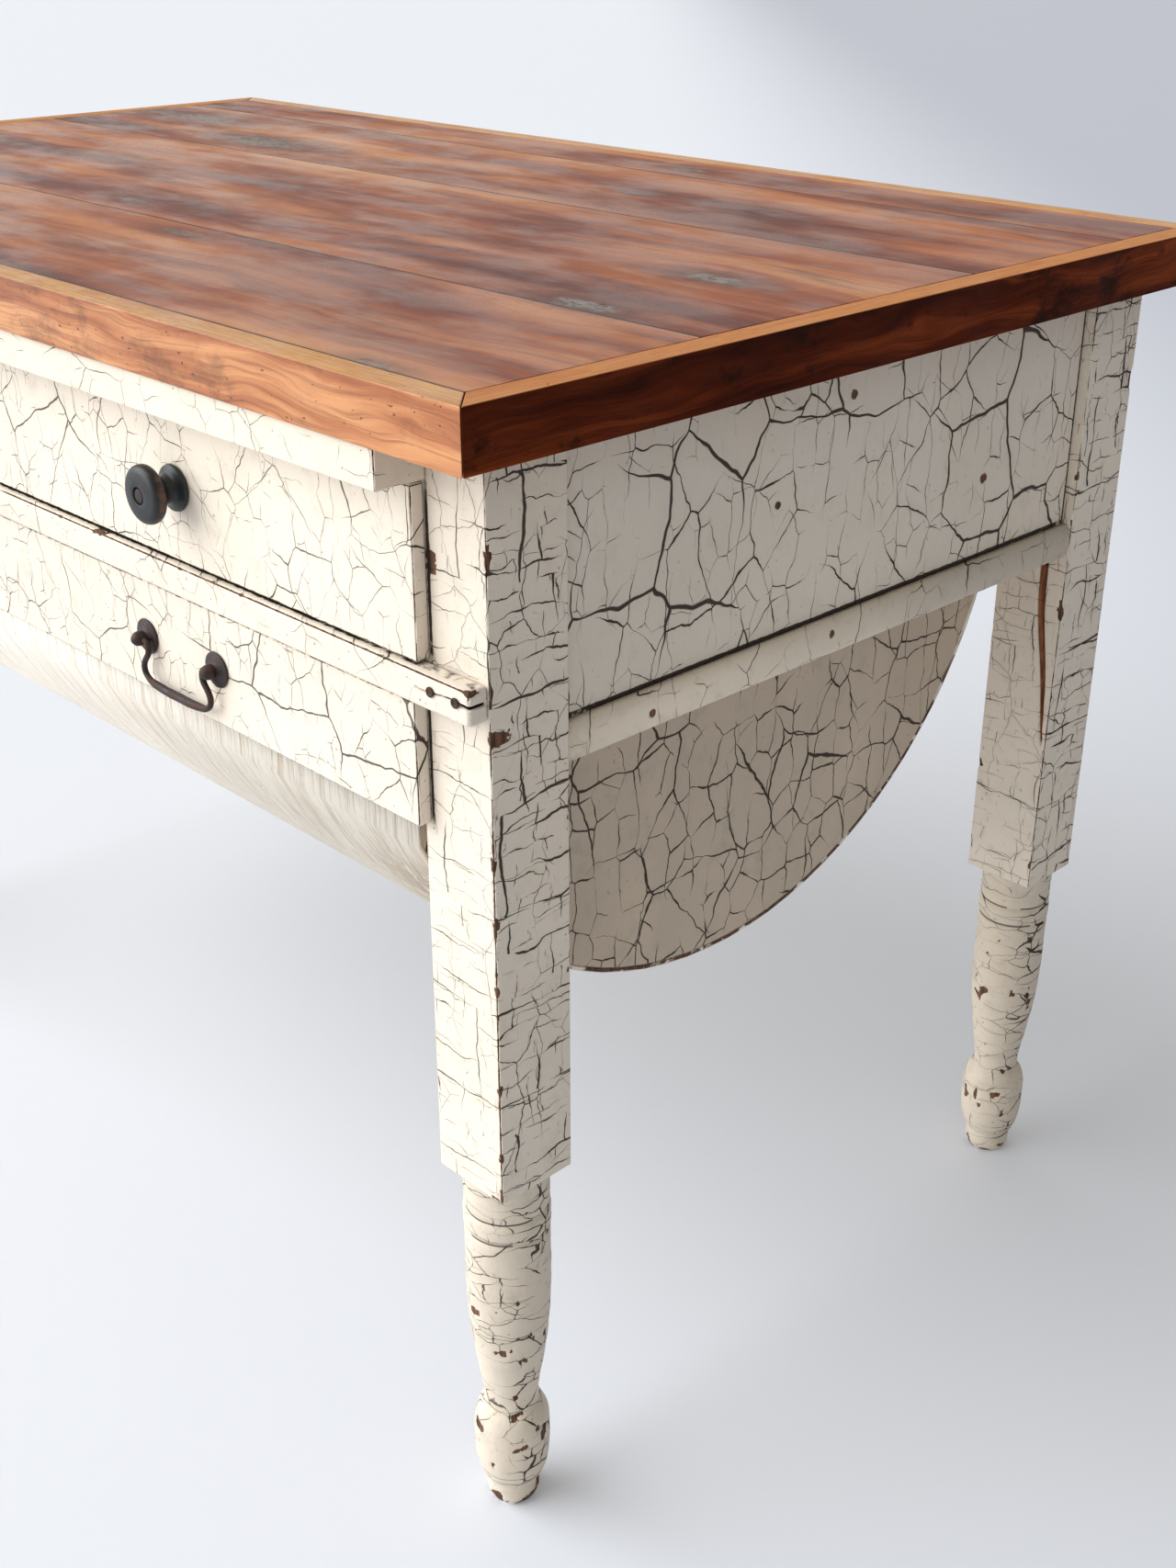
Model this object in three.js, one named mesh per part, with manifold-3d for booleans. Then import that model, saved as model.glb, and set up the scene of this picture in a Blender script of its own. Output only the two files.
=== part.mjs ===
// Baker's work table: a plank top on four part-turned legs, with one wide drawer and,
// under it, one wide flour bin with a rounded belly. Both pull out towards -Y.
// Millimetres, +Z up, +X to the right of somebody facing the front, and the origin
// on the floor under the middle of the top.
import * as THREE from 'three';
import { mergeVertices } from 'three/addons/utils/BufferGeometryUtils.js';
import Module from 'manifold-3d';

const wasm = await Module();
wasm.setup();

// ---- Driving dimensions ------------------------------------------------------------
const WIDTH = 1130;              // over the top, along X
const DEPTH = 676;               // over the top, along Y
const HEIGHT = 762;              // floor to worktop
const FIT = 0.3;                 // clearance between pieces that touch
const OVERLAP = 1;               // how far two halves of one piece run into each other before joining

const PLANK_THICK = 22;
const PLANK_SEAMS = [-156, 87, 252];            // Y of the joints between the planks
const BAND = { wide: 19, tall: 34 };            // mitred boards round the planks
const BATTEN = { wide: 50, tall: 19, offset: 200 };

const LEG_SIDE = 56.6;
const LEG_INSET_X = 26.7;                       // leg's outer face behind the top's end
const LEG_INSET_Y = 36;                         // leg's front face behind the top's front
const PUMMEL_Z = 270.6;                         // lower end of the leg's square length
const TURNED_SEGMENTS = 24;

const APRON_RECESS = 8;                         // panel face behind the leg face
const APRON_THICK = 20;
const APRON_LOW_Z = 541;
const BEAD_TALL = 24;

const LIP_THICK = 9.5;                          // the lipped fronts stand this far proud of the legs
const LIP_OVERHANG = { drawer: 10.3, bin: 6.3 };  // how far each lip covers the legs
const FRONT_GAP = 1.5;                          // gap between a lip and the rail next to it
const TOP_RAIL = { proud: 33, low: 705, overhang: 12.3 };
const MIDDLE_RAIL = { proud: 14, low: 585, high: 605.5 };
const TONGUE_DEPTH = 21;                        // part of each front rail between the legs
const RAIL_EDGE = 4;                            // rounding of the middle rail's front edges

const DRAWER = { front: 15, side: 12, length: 500, sideLow: 612, sideHigh: 692, bottom: 6, bottomLow: 617 };
const DRAWER_SIDE_CLEAR = 3.7;                  // between the drawer side and the legs
const GROOVE = { deep: 4, clear: 0.3 };
const SLIDE_BAR = { wide: 16, tall: 18 };       // section of the drawer's runners
const KICKER_CLEAR = 2;                         // between the drawer sides and the bars over them

const BIN = { radius: 291, axisY: -36, axisZ: 605, sheet: 3, half: 472.6, endBoard: 20 };
const BIN_TOP_Z = 575;
const BIN_LIP_LOW_Z = 508;
const BELLY_START_Z = 485;                      // the belly leaves the vertical here
const BELLY_STEPS = 36;
const BIN_BOARD = { backY: -282, lowZ: 486 };   // the front board between the bin's ends
const BIN_BACK_RAIL = { frontY: 216, backY: 236, lowZ: 515 };
const BIN_SIDE_CLEAR = 1.4;                     // between the bin's ends and its runners
const CLEAT = { thick: 8, tall: 15 };

const PULL = { centreX: 260, halfSpan: 38.5, z: 545.5, bore: 6, boreRadius: 2.6 };
const BAIL = { wire: 2, grip: 3, drop: 28.5, clearOfPost: 8.4 };
const KNOB = { x: 272, z: 654, reach: 26 };
const NAIL = { radius: 3, thick: 1, xs: [508, 528], z: 597 };

// ---- Sizes worked out from them ----------------------------------------------------
const HALF_W = WIDTH / 2;
const HALF_D = DEPTH / 2;
const UNDER_TOP = HEIGHT - PLANK_THICK - FIT;
const LEG_OUT_X = HALF_W - LEG_INSET_X;
const LEG_IN_X = LEG_OUT_X - LEG_SIDE;
const LEG_OUT_Y = HALF_D - LEG_INSET_Y;
const LEG_IN_Y = LEG_OUT_Y - LEG_SIDE;
const APRON_OUT_X = LEG_OUT_X - APRON_RECESS;
const APRON_IN_X = APRON_OUT_X - APRON_THICK;
const APRON_OUT_Y = LEG_OUT_Y - APRON_RECESS;
const APRON_IN_Y = APRON_OUT_Y - APRON_THICK;
const LIP_FACE_Y = -LEG_OUT_Y - LIP_THICK;      // front plane of the drawer's and the bin's lips
const LIP_BACK_Y = -LEG_OUT_Y - FIT;
const TONGUE_BACK_Y = -LEG_OUT_Y + TONGUE_DEPTH;
const BETWEEN_LEGS = LEG_IN_X - FIT;
const BAR_BACK_Y = APRON_IN_Y - FIT;            // rear end of everything that runs front to back

// ---- Materials ---------------------------------------------------------------------
function material(color, roughness, metalness = 0) {
  return new THREE.MeshStandardMaterial({ color, roughness, metalness });
}
const PAINT = material(0xe8e2d2, 0.6);
const AGED_PAINT = material(0xcdbfa6, 0.65);
const TOP_WOOD = material(0x98502b, 0.4);
const BAND_WOOD = material(0xb5683a, 0.4);
const BARE_WOOD = material(0xb28a5a, 0.75);
const KNOB_BLACK = material(0x1b1a1a, 0.35);
const IRON = material(0x35241d, 0.6, 0.6);

// ---- Helpers -----------------------------------------------------------------------
const table = new THREE.Group();

function place(name, geometry, finish, x = 0, y = 0, z = 0) {
  const mesh = new THREE.Mesh(geometry, finish);
  mesh.name = name;
  mesh.position.set(x, y, z);
  table.add(mesh);
  return mesh;
}

function blockGeometry([x0, x1], [y0, y1], [z0, z1]) {
  const block = new THREE.BoxGeometry(x1 - x0, y1 - y0, z1 - z0);
  return block.translate((x0 + x1) / 2, (y0 + y1) / 2, (z0 + z1) / 2);
}

function board(name, finish, xs, ys, zs) {
  const middle = [xs, ys, zs].map(([low, high]) => (low + high) / 2);
  const [w, d, h] = [xs, ys, zs].map(([low, high]) => high - low);
  return place(name, new THREE.BoxGeometry(w, d, h), finish, ...middle);
}

// A stretch measured outwards from the middle plane, on the left (-1) or right (+1) side.
function sideSpan(sign, inner, outer) {
  return sign > 0 ? [inner, outer] : [-outer, -inner];
}

function shapeOf(points) {
  return new THREE.Shape(points.map(([u, v]) => new THREE.Vector2(u, v)));
}

// An outline in Y and Z, extruded along X and centred on X = 0.
function alongX(shape, length) {
  const geometry = new THREE.ExtrudeGeometry(shape, { depth: length, bevelEnabled: false });
  geometry.translate(0, 0, -length / 2);
  return geometry.applyMatrix4(new THREE.Matrix4().set(0, 0, 1, 0, 1, 0, 0, 0, 0, 1, 0, 0, 0, 0, 0, 1));
}

// A turned piece: radius and height pairs, revolved about Z.
function turned(points, segments) {
  const outline = points.map((p) => (p.isVector2 ? p : new THREE.Vector2(...p)));
  return new THREE.LatheGeometry(outline, segments).rotateX(Math.PI / 2);
}

function toSolid(geometry) {
  const bare = geometry.clone();
  bare.deleteAttribute('normal');
  bare.deleteAttribute('uv');
  const merged = mergeVertices(bare, 1e-4);
  const triangles = [];
  for (let i = 0; i < merged.index.count; i += 3) {
    const [a, b, c] = [0, 1, 2].map((k) => merged.index.getX(i + k));
    if (a !== b && b !== c && c !== a) triangles.push(a, b, c);
  }
  const vertProperties = new Float32Array(merged.attributes.position.array);
  const mesh = new wasm.Mesh({ numProp: 3, vertProperties, triVerts: new Uint32Array(triangles) });
  return new wasm.Manifold(mesh);
}

function toGeometry(solid) {
  const mesh = solid.getMesh();
  const geometry = new THREE.BufferGeometry();
  geometry.setAttribute('position', new THREE.BufferAttribute(mesh.vertProperties, 3));
  geometry.setIndex(new THREE.BufferAttribute(mesh.triVerts, 1));
  geometry.computeVertexNormals();
  return geometry;
}

function joined(...geometries) {
  return toGeometry(geometries.map(toSolid).reduce((whole, next) => whole.add(next)));
}

function cutAway(geometry, ...cutters) {
  const whole = toSolid(geometry);
  return toGeometry(cutters.map(toSolid).reduce((left, cutter) => left.subtract(cutter), whole));
}

const SIDES = [['left', -1], ['right', 1]];

// ---- Top ---------------------------------------------------------------------------
function addPlanks() {
  const halfX = HALF_W - BAND.wide - FIT;
  const halfY = HALF_D - BAND.wide;
  const seams = [-halfY, ...PLANK_SEAMS, halfY];
  for (let i = 0; i + 1 < seams.length; i += 1) {
    const ys = [seams[i] + FIT, seams[i + 1] - FIT];
    board(`top_plank_${i + 1}`, TOP_WOOD, [-halfX, halfX], ys, [HEIGHT - PLANK_THICK, HEIGHT]);
  }
}

// One mitred board of the band, its outer edge along -Y before it is turned into place.
function bandGeometry(outerLength) {
  const half = outerLength / 2 - FIT;
  const inner = half - BAND.wide;
  const outline = shapeOf([[-half, 0], [half, 0], [inner, BAND.wide], [-inner, BAND.wide]]);
  return new THREE.ExtrudeGeometry(outline, { depth: BAND.tall, bevelEnabled: false });
}

function addBand() {
  const sides = [
    ['front', WIDTH, 0, [0, -HALF_D]],
    ['right', DEPTH, Math.PI / 2, [HALF_W, 0]],
    ['back', WIDTH, Math.PI, [0, HALF_D]],
    ['left', DEPTH, -Math.PI / 2, [-HALF_W, 0]],
  ];
  for (const [name, length, turn, [x, y]] of sides) {
    const mesh = place(`top_band_${name}`, bandGeometry(length), BAND_WOOD, x, y, HEIGHT - BAND.tall);
    mesh.rotation.z = turn;
  }
}

function addBattens() {
  for (const [side, sign] of SIDES) {
    const xs = [sign * BATTEN.offset - BATTEN.wide / 2, sign * BATTEN.offset + BATTEN.wide / 2];
    const ys = [TONGUE_BACK_Y + FIT, BAR_BACK_Y];
    board(`top_batten_${side}`, BARE_WOOD, xs, ys, [UNDER_TOP - BATTEN.tall, UNDER_TOP]);
  }
}

// ---- Legs --------------------------------------------------------------------------
// The turned foot: a worn toe, a ball, a narrow neck, and a long swelling up to a ring
// between two grooves under the square length.
function turnedOutline() {
  const path = new THREE.Path();
  path.moveTo(0, 0);
  path.lineTo(16, 0);
  path.lineTo(17.8, 5);
  path.lineTo(18.4, 18);
  path.lineTo(20.9, 22);
  path.quadraticCurveTo(25.3, 34, 25.3, 48);
  path.lineTo(25.3, 66);
  path.quadraticCurveTo(24.6, 76, 18.4, 83);
  path.lineTo(18.2, 92);
  path.bezierCurveTo(20.5, 112, 27.4, 142, 27.5, 186);
  path.lineTo(27.4, 226);
  path.lineTo(26.4, 228);
  path.lineTo(27.9, 231);
  path.lineTo(27.9, 241);
  path.lineTo(26.4, 244);
  path.lineTo(27.3, 247);
  path.lineTo(27.3, PUMMEL_Z + OVERLAP);
  path.lineTo(0, PUMMEL_Z + OVERLAP);
  return path.getPoints(4);
}

function legGeometry() {
  const half = LEG_SIDE / 2;
  const square = blockGeometry([-half, half], [-half, half], [PUMMEL_Z, UNDER_TOP]);
  return joined(turned(turnedOutline(), TURNED_SEGMENTS), square);
}

function addLegs() {
  const geometry = legGeometry();
  const [x, y] = [LEG_OUT_X - LEG_SIDE / 2, LEG_OUT_Y - LEG_SIDE / 2];
  for (const [side, sign] of SIDES) {
    place(`leg_front_${side}`, geometry, PAINT, sign * x, -y, 0);
    place(`leg_rear_${side}`, geometry, PAINT, sign * x, y, 0);
  }
}

// ---- Aprons at the ends and the back, each with a half-round bead along its foot -----
function beadShape() {
  const depth = APRON_RECESS - FIT;
  const shape = new THREE.Shape();
  shape.moveTo(0, 0);
  shape.lineTo(-depth / 2, 0);
  shape.bezierCurveTo(-depth - 1, BEAD_TALL * 0.2, -depth - 1, BEAD_TALL * 0.8, -depth / 2, BEAD_TALL);
  shape.lineTo(0, BEAD_TALL);
  return shape;
}

function addAprons() {
  const zs = [APRON_LOW_Z, UNDER_TOP];
  const halfY = LEG_IN_Y - FIT;
  for (const [side, sign] of SIDES) {
    board(`apron_${side}`, PAINT, sideSpan(sign, APRON_IN_X, APRON_OUT_X), [-halfY, halfY], zs);
    const bead = place(`apron_bead_${side}`, alongX(beadShape(), 2 * halfY), PAINT);
    bead.position.set(sign * (APRON_OUT_X + FIT), 0, APRON_LOW_Z);
    bead.rotation.z = sign * Math.PI / 2;
  }
  board('apron_back', PAINT, [-BETWEEN_LEGS, BETWEEN_LEGS], [APRON_IN_Y, APRON_OUT_Y], zs);
  const bead = place('apron_bead_back', alongX(beadShape(), 2 * BETWEEN_LEGS), PAINT);
  bead.position.set(0, APRON_OUT_Y + FIT, APRON_LOW_Z);
  bead.rotation.z = Math.PI;
}

// ---- Front rails -------------------------------------------------------------------
function addFrontRails() {
  const railHalf = LEG_IN_X + TOP_RAIL.overhang;
  const topRailFaceY = -LEG_OUT_Y - TOP_RAIL.proud;
  const underBand = HEIGHT - BAND.tall - FIT;
  const tongueYs = [LIP_BACK_Y - OVERLAP, TONGUE_BACK_Y];
  const topRail = joined(
    blockGeometry([-railHalf, railHalf], [topRailFaceY, LIP_BACK_Y], [TOP_RAIL.low, underBand]),
    blockGeometry([-BETWEEN_LEGS, BETWEEN_LEGS], tongueYs, [TOP_RAIL.low, UNDER_TOP]),
  );
  place('front_top_rail', topRail, PAINT);

  const { low, high, proud } = MIDDLE_RAIL;
  const faceY = -LEG_OUT_Y - proud;
  const front = new THREE.Shape();
  front.moveTo(LIP_BACK_Y, low);
  front.lineTo(LIP_BACK_Y, high);
  front.lineTo(faceY + RAIL_EDGE, high);
  front.quadraticCurveTo(faceY, high, faceY, high - RAIL_EDGE);
  front.lineTo(faceY, low + RAIL_EDGE);
  front.quadraticCurveTo(faceY, low, faceY + RAIL_EDGE, low);
  const middleRail = joined(
    alongX(front, 2 * (LEG_OUT_X - FIT)),
    blockGeometry([-BETWEEN_LEGS, BETWEEN_LEGS], tongueYs, [low, high]),
  );
  place('front_middle_rail', middleRail, PAINT);
}

function addRailNails() {
  const nail = new THREE.CylinderGeometry(NAIL.radius, NAIL.radius, NAIL.thick, 12);
  const y = -LEG_OUT_Y - MIDDLE_RAIL.proud - FIT - NAIL.thick / 2;
  for (const [side, sign] of SIDES) {
    NAIL.xs.forEach((x, i) => place(`rail_nail_${side}_${i + 1}`, nail, IRON, sign * x, y, NAIL.z));
  }
}

// ---- Drawer ------------------------------------------------------------------------
function addDrawer() {
  const lipHalf = LEG_IN_X + LIP_OVERHANG.drawer;
  const lipZs = [MIDDLE_RAIL.high + FRONT_GAP, TOP_RAIL.low - FRONT_GAP];
  const sideOut = LEG_IN_X - DRAWER_SIDE_CLEAR;
  const sideIn = sideOut - DRAWER.side;
  const frontBackY = LIP_BACK_Y + DRAWER.front;
  const backY = frontBackY + DRAWER.length;
  const bottomZs = [DRAWER.bottomLow, DRAWER.bottomLow + DRAWER.bottom];
  const grooveZs = [bottomZs[0] - GROOVE.clear, bottomZs[1] + GROOVE.clear];
  const grooved = sideIn + GROOVE.deep;

  const whole = joined(
    blockGeometry([-lipHalf, lipHalf], [LIP_FACE_Y, LIP_BACK_Y], lipZs),
    blockGeometry([-sideOut, sideOut], [LIP_BACK_Y - OVERLAP, frontBackY], lipZs),
  );
  const frontGrooveYs = [frontBackY - GROOVE.deep, frontBackY + OVERLAP];
  const frontGroove = blockGeometry([-grooved, grooved], frontGrooveYs, grooveZs);
  place('drawer_front', cutAway(whole, frontGroove), PAINT);

  for (const [side, sign] of SIDES) {
    const panelZs = [DRAWER.sideLow, DRAWER.sideHigh];
    const panel = blockGeometry(sideSpan(sign, sideIn, sideOut), [frontBackY + FIT, backY], panelZs);
    const grooveXs = sideSpan(sign, sideIn - OVERLAP, grooved);
    const groove = blockGeometry(grooveXs, [frontBackY - OVERLAP, backY + OVERLAP], grooveZs);
    place(`drawer_side_${side}`, cutAway(panel, groove), BARE_WOOD);
  }
  const inside = sideIn - FIT;
  const backZs = [grooveZs[1], DRAWER.sideHigh];
  board('drawer_back', BARE_WOOD, [-inside, inside], [backY - DRAWER.side, backY], backZs);
  const bottomHalf = grooved - FIT;
  const bottomYs = [frontGrooveYs[0] + FIT, backY];
  board('drawer_bottom', BARE_WOOD, [-bottomHalf, bottomHalf], bottomYs, bottomZs);
}

// Runners under the drawer sides and kickers over them, fixed to the legs' inner faces.
function addDrawerSlides() {
  const ys = [TONGUE_BACK_Y + FIT, BAR_BACK_Y];
  const runnerHigh = DRAWER.sideLow - FIT;
  for (const [side, sign] of SIDES) {
    const xs = sideSpan(sign, BETWEEN_LEGS - SLIDE_BAR.wide, BETWEEN_LEGS);
    board(`drawer_runner_${side}`, BARE_WOOD, xs, ys, [runnerHigh - SLIDE_BAR.tall, runnerHigh]);
    board(`drawer_kicker_${side}`, BARE_WOOD, xs, ys, [DRAWER.sideHigh + KICKER_CLEAR, UNDER_TOP]);
  }
}

// A knob turned about its own axis, bored for the screw that holds it.
function addKnobs() {
  const bore = 2.6;
  const knobOutline = [[bore, 0], [13.6, 0], [14.4, 1.5], [13.4, 3.5], [8.5, 5], [7.6, 8],
    [9.5, KNOB.reach - 11.5], [15.8, KNOB.reach - 9.5], [18.1, KNOB.reach - 7.5],
    [18.6, KNOB.reach - 5.5], [18, KNOB.reach - 2.7], [15, KNOB.reach - 0.8],
    [9, KNOB.reach], [6, KNOB.reach - 2.2], [bore, KNOB.reach - 2.2], [bore, 0]];
  const screwOutline = [[0, 0.3], [2.2, 0.3], [2.2, KNOB.reach - 1.9], [4.6, KNOB.reach - 1.9],
    [4.2, KNOB.reach - 0.6], [0, KNOB.reach - 0.3]];
  for (const [side, sign] of SIDES) {
    const knob = place(`drawer_knob_${side}`, turned(knobOutline, 32), KNOB_BLACK);
    const screw = place(`drawer_knob_screw_${side}`, turned(screwOutline, 12), IRON);
    for (const mesh of [knob, screw]) {
      mesh.position.set(sign * KNOB.x, LIP_FACE_Y - FIT, KNOB.z);
      mesh.rotation.x = Math.PI / 2;
    }
  }
}

// ---- Flour bin ---------------------------------------------------------------------
// The belly's outline, inset from its outer face: down from the lip, then a round sweep
// about the bin's long axis up to the rear top edge. Points are Y and Z.
function bellyOutline(inset) {
  const radius = BIN.radius - inset;
  const startAngle = Math.PI + Math.asin((BIN.axisZ - BELLY_START_Z) / BIN.radius);
  const endAngle = 2 * Math.PI - Math.asin((BIN.axisZ - BIN_TOP_Z) / radius);
  const points = [[BIN.axisY + radius * Math.cos(startAngle), BIN_LIP_LOW_Z - FIT]];
  for (let i = 0; i <= BELLY_STEPS; i += 1) {
    const angle = startAngle + (endAngle - startAngle) * i / BELLY_STEPS;
    points.push([BIN.axisY + radius * Math.cos(angle), BIN.axisZ + radius * Math.sin(angle)]);
  }
  return points;
}

function addBin() {
  const sheet = alongX(shapeOf([...bellyOutline(0), ...bellyOutline(BIN.sheet).reverse()]), 2 * BIN.half);
  place('bin_belly', sheet, PAINT);

  const inner = bellyOutline(BIN.sheet + FIT);
  const [frontY, lowZ] = inner[0];
  const endFrontY = LIP_BACK_Y + FIT;
  const endShape = shapeOf([...inner, [endFrontY, BIN_TOP_Z], [endFrontY, lowZ], [frontY, lowZ]]);
  const endGeometry = alongX(endShape, BIN.endBoard);
  const insideHalf = BIN.half - BIN.endBoard - FIT;
  for (const [side, sign] of SIDES) {
    place(`bin_end_${side}`, endGeometry, AGED_PAINT, sign * (BIN.half - BIN.endBoard / 2));
    const cleatXs = sideSpan(sign, BIN.half + FIT, BIN.half + FIT + CLEAT.thick);
    const cleatYs = [TONGUE_BACK_Y, LEG_IN_Y];
    board(`bin_cleat_${side}`, BARE_WOOD, cleatXs, cleatYs, [BIN_TOP_Z - CLEAT.tall, BIN_TOP_Z]);
  }

  const lipHalf = LEG_IN_X + LIP_OVERHANG.bin;
  const lipHigh = MIDDLE_RAIL.low - FRONT_GAP;
  const inside = [-insideHalf, insideHalf];
  const frontBoard = joined(
    blockGeometry([-lipHalf, lipHalf], [LIP_FACE_Y, LIP_BACK_Y], [BIN_LIP_LOW_Z, lipHigh]),
    blockGeometry(inside, [LIP_BACK_Y - OVERLAP, BIN_BOARD.backY], [BIN_LIP_LOW_Z, BIN_TOP_Z]),
    blockGeometry(inside, [frontY, BIN_BOARD.backY], [BIN_BOARD.lowZ, BIN_LIP_LOW_Z + OVERLAP]),
  );
  place('bin_front', frontBoard, PAINT);
  const railYs = [BIN_BACK_RAIL.frontY, BIN_BACK_RAIL.backY];
  board('bin_back_rail', BARE_WOOD, inside, railYs, [BIN_BACK_RAIL.lowZ, BIN_TOP_Z]);
}

function addBinRunners() {
  const halfY = LEG_IN_Y - FIT;
  const runnerHigh = BIN_TOP_Z - CLEAT.tall - FIT;
  for (const [side, sign] of SIDES) {
    const xs = sideSpan(sign, BIN.half + BIN_SIDE_CLEAR, APRON_IN_X - FIT);
    board(`bin_runner_${side}`, BARE_WOOD, xs, [-halfY, halfY], [APRON_LOW_Z, runnerHigh]);
  }
}

// A cast rosette with a ball on its neck, bored along X for the end of the bail.
function postGeometry() {
  const outline = [[0, 0], [11.6, 0], [11.8, 1], [9, 2.2], [5.4, 3], [4.8, 4], [5.2, 5.2],
    [5.5, 6.8], [5, 9], [3.4, 11], [1.6, 12], [0, 12.3]];
  const body = turned(outline, 20).rotateX(Math.PI / 2);
  const cutter = new THREE.CylinderGeometry(PULL.boreRadius, PULL.boreRadius, 20, 20);
  cutter.rotateZ(Math.PI / 2).translate(0, -PULL.bore, 0);
  return cutAway(body, cutter);
}

// The bail: each arm leaves its bore inwards, drops clear of the post's ball, bows out
// under the post and turns into the grip, which is thicker than the arms.
function bailGeometry() {
  const { halfSpan } = PULL;
  const { wire, grip, drop, clearOfPost } = BAIL;
  const clearX = -halfSpan + clearOfPost;
  const at = (x, z) => new THREE.Vector3(x, 0, z);
  const route = new THREE.CatmullRomCurve3([
    at(-halfSpan - 4.5, 0), at(-halfSpan - 1.5, 0), at(-halfSpan + 1.5, 0), at(-halfSpan + 4.5, 0),
    at(clearX - 0.6, -1.2), at(clearX, -4), at(clearX - 0.3, -8), at(-halfSpan + 4.4, -12.5),
    at(-halfSpan + 1.6, -17), at(-halfSpan + 1.8, -22), at(-halfSpan + 7, -drop + 2),
    at(-halfSpan + 15, -drop + 0.7), at(-halfSpan / 3, -drop), at(0, -drop),
  ], false, 'centripetal');
  const half = route.getSpacedPoints(30);
  const mirrored = half.slice(0, -1).reverse().map((p) => at(-p.x, p.z));
  const centres = [...half, ...mirrored];
  const sides = 12;
  const positions = [];
  centres.forEach((centre, i) => {
    const before = centres[Math.max(i - 1, 0)];
    const after = centres[Math.min(i + 1, centres.length - 1)];
    const tangent = new THREE.Vector3().subVectors(after, before).normalize();
    const normal = new THREE.Vector3(-tangent.z, 0, tangent.x);
    const swell = centre.z < -drop / 2 ? Math.max(0, 1 - (centre.x / (halfSpan - 6)) ** 4) : 0;
    const radius = wire + (grip - wire) * swell;
    for (let k = 0; k < sides; k += 1) {
      const angle = 2 * Math.PI * k / sides;
      const point = centre.clone().addScaledVector(normal, radius * Math.cos(angle));
      point.y += radius * Math.sin(angle);
      positions.push(point.x, point.y, point.z);
    }
  });
  const index = [];
  const last = (centres.length - 1) * sides;
  for (let i = 0; i < last; i += sides) {
    for (let k = 0; k < sides; k += 1) {
      const next = (k + 1) % sides;
      index.push(i + k, i + sides + k, i + next, i + next, i + sides + k, i + sides + next);
    }
  }
  for (let k = 1; k + 1 < sides; k += 1) {
    index.push(0, k, k + 1, last, last + k + 1, last + k);
  }
  const geometry = new THREE.BufferGeometry();
  geometry.setAttribute('position', new THREE.Float32BufferAttribute(positions, 3));
  geometry.setIndex(index);
  geometry.computeVertexNormals();
  return geometry;
}

function addPulls() {
  const post = postGeometry();
  const bail = bailGeometry();
  for (const [side, sign] of SIDES) {
    const x = sign * PULL.centreX;
    place(`bail_${side}`, bail, IRON, x, LIP_FACE_Y - FIT - PULL.bore, PULL.z);
    place(`bail_post_${side}_1`, post, IRON, x - PULL.halfSpan, LIP_FACE_Y - FIT, PULL.z);
    place(`bail_post_${side}_2`, post, IRON, x + PULL.halfSpan, LIP_FACE_Y - FIT, PULL.z);
  }
}

addPlanks();
addBand();
addBattens();
addLegs();
addAprons();
addFrontRails();
addRailNails();
addDrawer();
addDrawerSlides();
addKnobs();
addBin();
addBinRunners();
addPulls();

export default table;
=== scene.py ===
"""Looks for the baker's table: crackled cream paint over brown wood, a varnished plank
top, dark turned knobs and rusty bails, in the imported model's own frame, in metres."""
import math

import bpy
import numpy as np
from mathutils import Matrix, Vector, noise


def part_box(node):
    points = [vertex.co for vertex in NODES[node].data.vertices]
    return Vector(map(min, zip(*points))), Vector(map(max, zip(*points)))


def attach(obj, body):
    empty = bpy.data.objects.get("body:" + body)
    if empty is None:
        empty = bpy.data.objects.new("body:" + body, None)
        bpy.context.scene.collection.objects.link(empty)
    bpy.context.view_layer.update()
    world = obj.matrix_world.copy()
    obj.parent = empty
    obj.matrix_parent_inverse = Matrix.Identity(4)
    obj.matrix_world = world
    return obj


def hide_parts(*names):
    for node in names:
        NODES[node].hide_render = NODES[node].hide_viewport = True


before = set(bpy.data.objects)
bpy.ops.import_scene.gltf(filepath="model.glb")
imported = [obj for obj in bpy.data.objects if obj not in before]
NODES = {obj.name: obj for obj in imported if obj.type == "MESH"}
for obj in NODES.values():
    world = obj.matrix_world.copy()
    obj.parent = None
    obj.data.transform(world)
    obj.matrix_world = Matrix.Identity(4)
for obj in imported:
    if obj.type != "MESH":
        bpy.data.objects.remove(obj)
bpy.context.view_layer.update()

SIDES = (("left", -1), ("right", 1))

# Planes and places of the table, in metres.
LIP_FACE_Y, LIP_BACK_Y = -0.3118, -0.3023       # drawer and bin lips, fronts and backs
TONGUE_FRONT_Y = -0.3033                        # boards behind the lips and rails
TONGUE_HALF = 0.4814
LEG_FACE_Y = -0.302
BIN_LIP_Z = (0.508, 0.5835)
BIN_BOARD_TOP_Z = 0.5750
BIN_BOARD_FRONT_Y = -0.2980
TOP_RAIL_LOW_Z = 0.7277                         # where the top rail's tongue begins
RAIL_LOW_Z, RAIL_HIGH_Z = 0.5850, 0.6055        # middle rail
DRAWER_LIP_LOW_Z = 0.6070
APRON_FACE_X, APRON_FACE_Y = 0.5303, 0.294
BEAD_JOINT_Z = 0.5664                           # where an apron meets the bead below it
KNOB_X, KNOB_Z = 0.272, 0.654
PULL_X, PULL_HALF_SPAN, PULL_Z = 0.260, 0.0385, 0.5455
NAIL_XS, NAIL_FACE_Y, NAIL_Z = (0.508, 0.528), -0.3163, 0.597


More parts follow.
